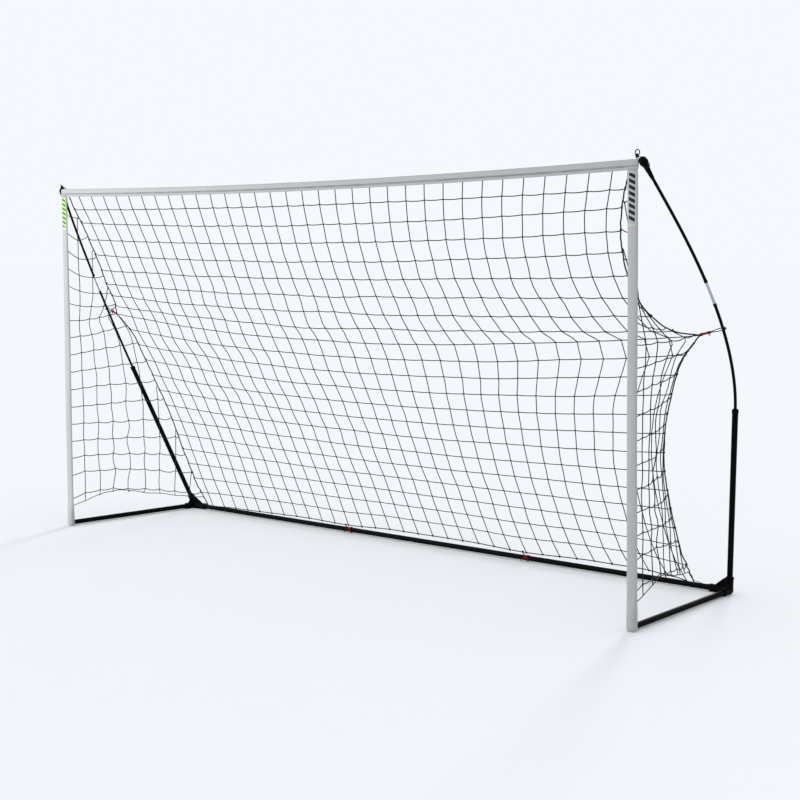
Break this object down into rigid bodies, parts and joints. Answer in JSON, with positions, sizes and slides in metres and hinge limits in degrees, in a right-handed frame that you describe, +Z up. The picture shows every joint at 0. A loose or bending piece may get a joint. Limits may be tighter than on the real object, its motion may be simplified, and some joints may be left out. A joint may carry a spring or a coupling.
{
  "type": "portable bow-frame soccer goal",
  "caption": "Portable soccer goal: steel tube base on the ground, springy bowed poles, fabric posts and crossbar held taut by elastics, with a net behind.",
  "frame": {"origin": "on the ground, under the middle of the whole goal's bounding box", "axes": "+X along the crossbar, +Y from the mouth back to the rear bar, +Z up"},
  "size_m": [3.9884, 0.8702, 1.8445],
  "materials": {
    "powder_coat": "satin black powder coat",
    "zinc_tube": "zinc-plated steel",
    "black_plastic": "moulded black plastic",
    "fibreglass": "black tubular fibreglass",
    "bare_steel": "bare drawn steel",
    "spring_steel": "spring steel strip",
    "button_steel": "blackened steel button",
    "coated_cloth": "grey-white coated woven fabric",
    "net_twine": "black knotted twine",
    "black_elastic": "black braided elastic cord",
    "red_elastic": "dark red braided elastic cord"
  },
  "bodies": {
    "frame": {"rear_bar_left": "powder_coat", "rear_bar_centre": "powder_coat", "rear_bar_right": "powder_coat", "side_bar_left": "powder_coat", "side_bar_right": "powder_coat", "upright_left": "powder_coat", "upright_right": "powder_coat", "rear_spigot_left": "zinc_tube", "rear_spigot_right": "zinc_tube", "corner_left": "black_plastic", "front_cap_left": "black_plastic", "pole_collar_left": "black_plastic", "pole_seat_left": "black_plastic", "post_sleeve_left": "coated_cloth", "net_side_left": "net_twine", "corner_elastic_left": "black_elastic", "bow_bungee_left": "black_elastic", "hem_tie_left": "black_elastic", "rear_tie_left": "red_elastic", "corner_right": "black_plastic", "front_cap_right": "black_plastic", "pole_collar_right": "black_plastic", "pole_seat_right": "black_plastic", "post_sleeve_right": "coated_cloth", "net_side_right": "net_twine", "corner_elastic_right": "black_elastic", "bow_bungee_right": "black_elastic", "hem_tie_right": "black_elastic", "rear_tie_right": "red_elastic", "crossbar_sleeve": "coated_cloth", "net_back": "net_twine", "button_spring_rear_joint_left": "spring_steel", "button_spring_rear_left": "spring_steel", "button_spring_side_left": "spring_steel", "button_spring_upright_left": "spring_steel", "button_spring_rear_joint_right": "spring_steel", "button_spring_rear_right": "spring_steel", "button_spring_side_right": "spring_steel", "button_spring_upright_right": "spring_steel"},
    "bow_left": {"pole_lower_left": "fibreglass", "pole_upper_left": "fibreglass", "ferrule_left": "bare_steel", "pole_ring_lower_left": "bare_steel", "pole_ring_upper_left": "bare_steel", "tip_ball_left": "black_plastic"},
    "bow_right": {"pole_lower_right": "fibreglass", "pole_upper_right": "fibreglass", "ferrule_right": "bare_steel", "pole_ring_lower_right": "bare_steel", "pole_ring_upper_right": "bare_steel", "tip_ball_right": "black_plastic"},
    "button_rear_joint_left": {"snap_button_rear_joint_left": "button_steel"},
    "button_rear_left": {"snap_button_rear_left": "button_steel"},
    "button_side_left": {"snap_button_side_left": "button_steel"},
    "button_upright_left": {"snap_button_upright_left": "button_steel"},
    "button_rear_joint_right": {"snap_button_rear_joint_right": "button_steel"},
    "button_rear_right": {"snap_button_rear_right": "button_steel"},
    "button_side_right": {"snap_button_side_right": "button_steel"},
    "button_upright_right": {"snap_button_upright_right": "button_steel"}
  },
  "joints": [
    {"name": "bow_pull_left", "type": "slide", "parent": "frame", "child": "bow_left", "axis": [-0.2064, -0.3292, 0.9214], "range_m": [0, 0.05], "stiffness_N_per_m": 150, "springref_m": -0.02, "deforming": ["corner_elastic_left", "bow_bungee_left"]},
    {"name": "bow_pull_right", "type": "slide", "parent": "frame", "child": "bow_right", "axis": [0.2064, -0.3292, 0.9214], "range_m": [0, 0.05], "stiffness_N_per_m": 150, "springref_m": -0.02, "deforming": ["corner_elastic_right", "bow_bungee_right"]},
    {"name": "press_rear_joint_left", "type": "slide", "parent": "frame", "child": "button_rear_joint_left", "axis": [0, 0, -1], "range_m": [0, 0.0045], "stiffness_N_per_m": 600, "springref_m": -0.003},
    {"name": "press_rear_left", "type": "slide", "parent": "frame", "child": "button_rear_left", "axis": [0, 0, -1], "range_m": [0, 0.006], "stiffness_N_per_m": 600, "springref_m": -0.003},
    {"name": "press_side_left", "type": "slide", "parent": "frame", "child": "button_side_left", "axis": [0, 0, -1], "range_m": [0, 0.006], "stiffness_N_per_m": 600, "springref_m": -0.003},
    {"name": "press_upright_left", "type": "slide", "parent": "frame", "child": "button_upright_left", "axis": [0.072, -0.9443, -0.3212], "range_m": [0, 0.006], "stiffness_N_per_m": 600, "springref_m": -0.003},
    {"name": "press_rear_joint_right", "type": "slide", "parent": "frame", "child": "button_rear_joint_right", "axis": [0, 0.8, 0.6], "range_m": [0, 0.0045], "stiffness_N_per_m": 600, "springref_m": -0.003},
    {"name": "press_rear_right", "type": "slide", "parent": "frame", "child": "button_rear_right", "axis": [0, 0, -1], "range_m": [0, 0.006], "stiffness_N_per_m": 600, "springref_m": -0.003},
    {"name": "press_side_right", "type": "slide", "parent": "frame", "child": "button_side_right", "axis": [0, 0, -1], "range_m": [0, 0.006], "stiffness_N_per_m": 600, "springref_m": -0.003},
    {"name": "press_upright_right", "type": "slide", "parent": "frame", "child": "button_upright_right", "axis": [-0.072, -0.9443, -0.3212], "range_m": [0, 0.006], "stiffness_N_per_m": 600, "springref_m": -0.003}
  ]
}
